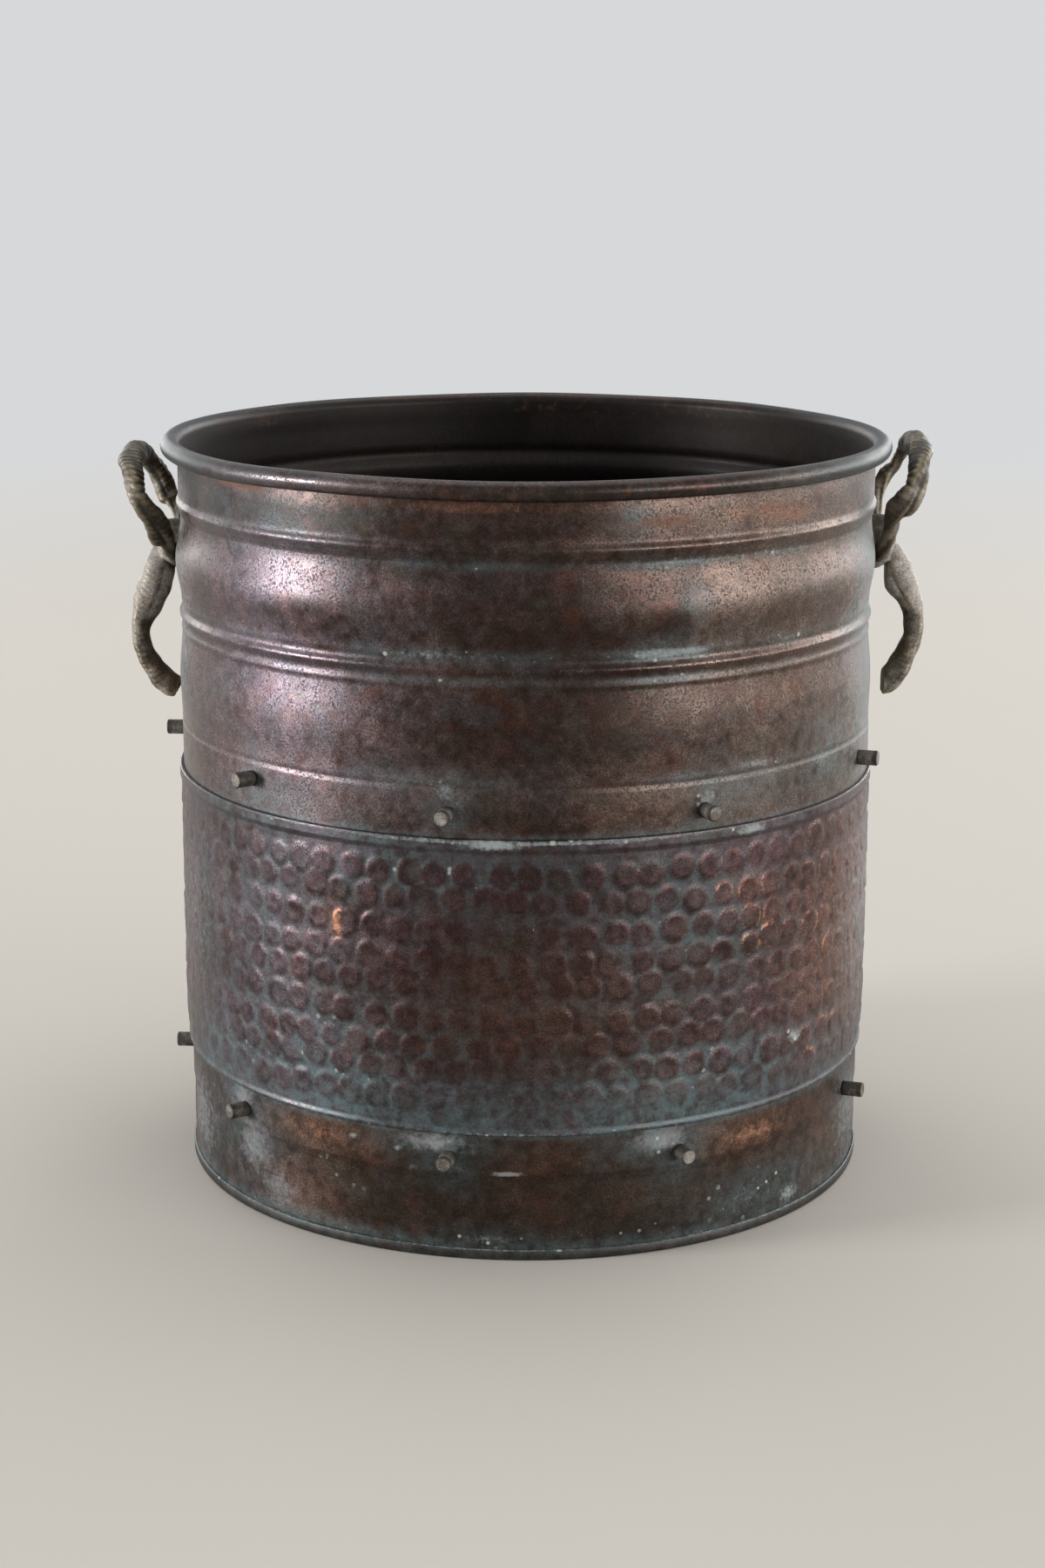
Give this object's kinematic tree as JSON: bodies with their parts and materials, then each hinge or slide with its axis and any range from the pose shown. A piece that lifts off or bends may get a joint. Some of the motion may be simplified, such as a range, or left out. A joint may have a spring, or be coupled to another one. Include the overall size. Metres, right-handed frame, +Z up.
{
  "type": "metal bucket",
  "caption": "Round copper bucket: rolled rim, swaged upper wall, hammered middle band, rows of round studs, cast side handles.",
  "frame": {"origin": "on the bucket's axis, in the plane that it stands on", "axes": "+Z up along the axis, +X towards the right handle, -Y towards the front"},
  "size_m": [0.3254, 0.2924, 0.298],
  "materials": {
    "upper_copper": "weathered",
    "band_copper": "hammered, weathered",
    "lower_copper": "weathered",
    "aged_brass": "cast, weathered",
    "iron": "rusted"
  },
  "bodies": {
    "root": {"upper_shell": "upper_copper", "rim_wire": "iron", "hammered_band": "band_copper", "lower_shell": "lower_copper", "base_plate": "lower_copper", "handle_left": "aged_brass", "left_screw_upper": "iron", "left_screw_lower": "iron", "left_washer_upper": "iron", "left_washer_lower": "iron", "handle_right": "aged_brass", "right_screw_upper": "iron", "right_screw_lower": "iron", "right_washer_upper": "iron", "right_washer_lower": "iron", "upper_stud_1": "aged_brass", "upper_stud_2": "aged_brass", "upper_stud_3": "aged_brass", "upper_stud_4": "aged_brass", "upper_stud_5": "aged_brass", "upper_stud_6": "aged_brass", "upper_stud_7": "aged_brass", "upper_stud_8": "aged_brass", "upper_stud_9": "aged_brass", "lower_stud_1": "aged_brass", "lower_stud_2": "aged_brass", "lower_stud_3": "aged_brass", "lower_stud_4": "aged_brass", "lower_stud_5": "aged_brass", "lower_stud_6": "aged_brass", "lower_stud_7": "aged_brass", "lower_stud_8": "aged_brass", "lower_stud_9": "aged_brass"}
  },
  "joints": []
}
